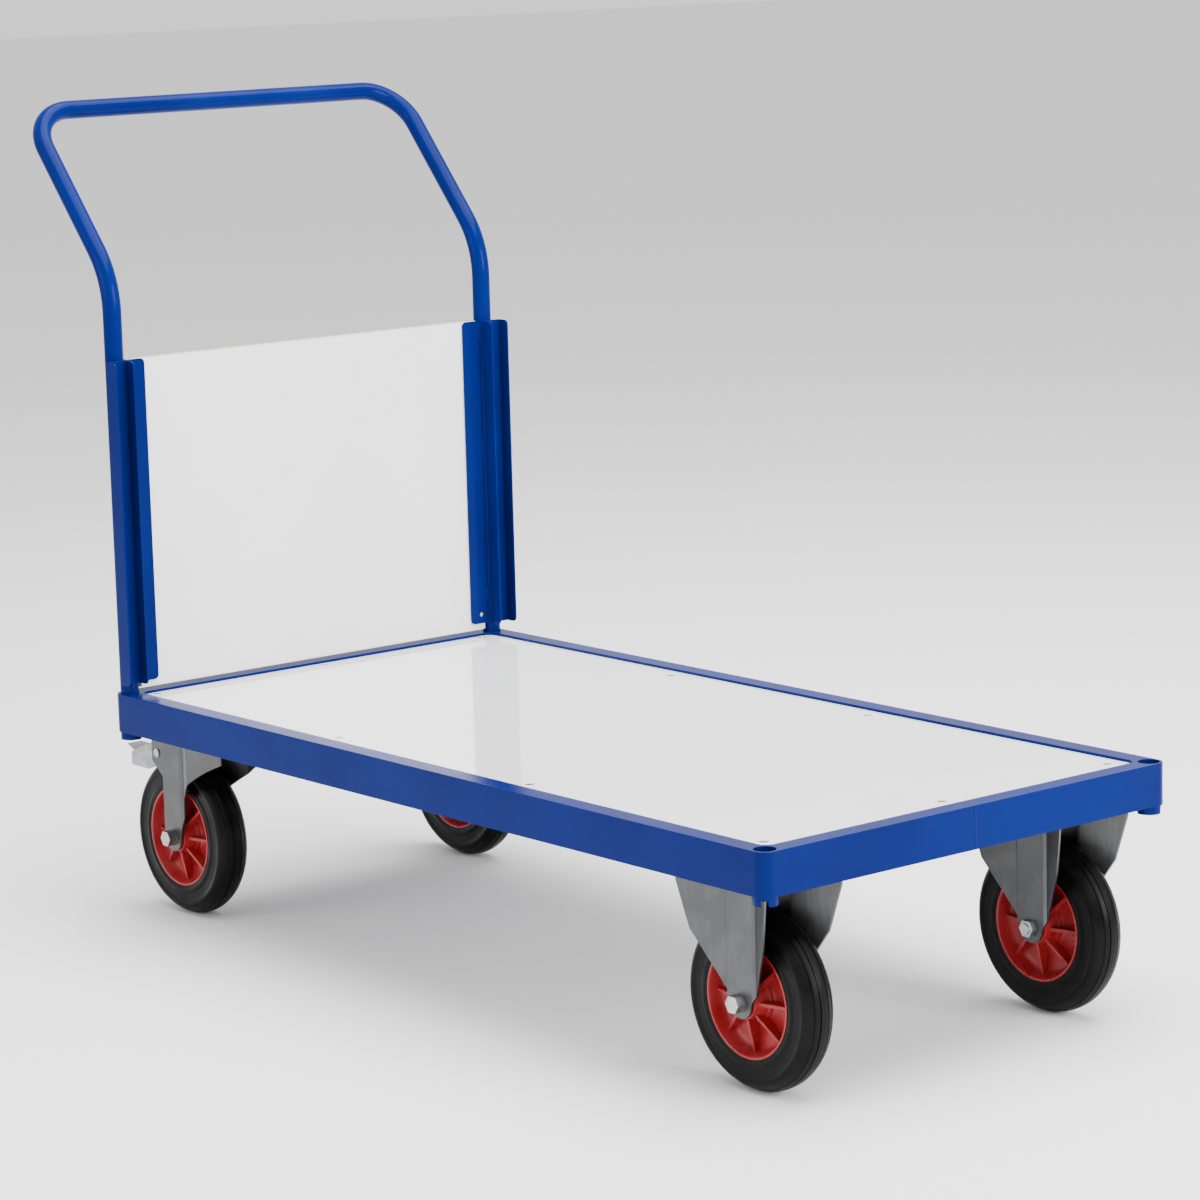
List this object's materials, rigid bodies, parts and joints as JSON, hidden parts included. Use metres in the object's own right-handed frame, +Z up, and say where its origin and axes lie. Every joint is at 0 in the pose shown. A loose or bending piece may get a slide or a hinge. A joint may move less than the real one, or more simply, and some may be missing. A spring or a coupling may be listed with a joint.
{
  "type": "platform trolley",
  "caption": "Flat steel-framed platform trolley with a plug-in panelled push handle, two fixed castors in front and two braked swivel castors behind",
  "frame": {"origin": "on the floor, in the middle of the trolley's whole footprint", "axes": "+X forward from the push handle to the open end, +Y left, +Z up"},
  "size_m": [1.3716, 0.6064, 1.0077],
  "materials": {
    "blue_paint": "glossy blue powder coat",
    "white_deck": "glossy white laminate on board",
    "white_panel": "matt white laminate on board",
    "grey_zinc": "dull zinc-plated pressed steel",
    "bright_zinc": "bright zinc-plated steel",
    "pedal_zinc": "bright zinc-plated pressed steel",
    "red_plastic": "semi-gloss red moulded plastic",
    "black_rubber": "black solid rubber",
    "bearing_cage": "dark roller cage",
    "brake_rubber": "black moulded brake block"
  },
  "bodies": {
    "platform": {"castor_crossmember_front": "blue_paint", "deck_crossmember_front": "blue_paint", "socket_front_left": "blue_paint", "socket_front_right": "blue_paint", "castor_crossmember_rear": "blue_paint", "deck_crossmember_rear": "blue_paint", "socket_rear_left": "blue_paint", "socket_rear_right": "blue_paint", "perimeter_frame": "blue_paint", "socket_seat_rings": "blue_paint", "deck_board": "white_deck", "deck_screws": "bright_zinc", "castor_mounting_bolts": "bright_zinc", "castor_mounting_nuts": "bright_zinc", "fixed_axle_bolts": "bright_zinc", "fixed_axle_nuts": "bright_zinc", "fixed_axle_sleeves": "bright_zinc", "fixed_fork_left": "grey_zinc", "swivel_plate_left": "grey_zinc", "king_pin_left": "bright_zinc", "fixed_fork_right": "grey_zinc", "swivel_plate_right": "grey_zinc", "king_pin_right": "bright_zinc"},
    "push_end": {"handle_tube": "blue_paint", "end_panel": "white_panel", "panel_screws": "bright_zinc", "end_channel_left": "blue_paint", "side_channel_left": "blue_paint", "end_channel_right": "blue_paint", "side_channel_right": "blue_paint"},
    "swivel_left": {"swivel_fork_left": "grey_zinc", "ball_race_left": "grey_zinc", "swivel_axle_bolt_left": "bright_zinc", "swivel_axle_nut_left": "bright_zinc", "swivel_axle_sleeve_left": "bright_zinc", "brake_pivot_left": "bright_zinc"},
    "brake_left": {"brake_pedal_left": "pedal_zinc", "brake_shoe_left": "brake_rubber"},
    "wheel_front_left": {"tyre_front_left": "black_rubber", "hub_front_left": "red_plastic", "roller_bearing_front_left": "bearing_cage"},
    "wheel_rear_left": {"tyre_rear_left": "black_rubber", "hub_rear_left": "red_plastic", "roller_bearing_rear_left": "bearing_cage"},
    "swivel_right": {"swivel_fork_right": "grey_zinc", "ball_race_right": "grey_zinc", "swivel_axle_bolt_right": "bright_zinc", "swivel_axle_nut_right": "bright_zinc", "swivel_axle_sleeve_right": "bright_zinc", "brake_pivot_right": "bright_zinc"},
    "brake_right": {"brake_pedal_right": "pedal_zinc", "brake_shoe_right": "brake_rubber"},
    "wheel_front_right": {"tyre_front_right": "black_rubber", "hub_front_right": "red_plastic", "roller_bearing_front_right": "bearing_cage"},
    "wheel_rear_right": {"tyre_rear_right": "black_rubber", "hub_rear_right": "red_plastic", "roller_bearing_rear_right": "bearing_cage"}
  },
  "joints": [
    {"name": "castor_swivel_left", "type": "hinge", "parent": "platform", "child": "swivel_left", "pos_m": [-0.41621, 0.216, 0.2], "axis": [0, 0, 1], "continuous": true},
    {"name": "wheel_spin_rear_left", "type": "hinge", "parent": "swivel_left", "child": "wheel_rear_left", "pos_m": [-0.48121, 0.216, 0.1], "axis": [0, 1, 0], "continuous": true},
    {"name": "wheel_spin_front_left", "type": "hinge", "parent": "platform", "child": "wheel_front_left", "pos_m": [0.58279, 0.216, 0.1], "axis": [0, 1, 0], "continuous": true},
    {"name": "brake_press_left", "type": "hinge", "parent": "swivel_left", "child": "brake_left", "pos_m": [-0.50921, 0.216, 0.2035], "axis": [0, -1, 0], "range_deg": [0, 8]},
    {"name": "castor_swivel_right", "type": "hinge", "parent": "platform", "child": "swivel_right", "pos_m": [-0.41621, -0.216, 0.2], "axis": [0, 0, 1], "continuous": true},
    {"name": "wheel_spin_rear_right", "type": "hinge", "parent": "swivel_right", "child": "wheel_rear_right", "pos_m": [-0.48121, -0.216, 0.1], "axis": [0, 1, 0], "continuous": true},
    {"name": "wheel_spin_front_right", "type": "hinge", "parent": "platform", "child": "wheel_front_right", "pos_m": [0.58279, -0.216, 0.1], "axis": [0, 1, 0], "continuous": true},
    {"name": "brake_press_right", "type": "hinge", "parent": "swivel_right", "child": "brake_right", "pos_m": [-0.50921, -0.216, 0.2035], "axis": [0, -1, 0], "range_deg": [0, 8]},
    {"name": "push_end_lift", "type": "slide", "parent": "platform", "child": "push_end", "axis": [0, 0, 1], "range_m": [0, 0.08]}
  ]
}
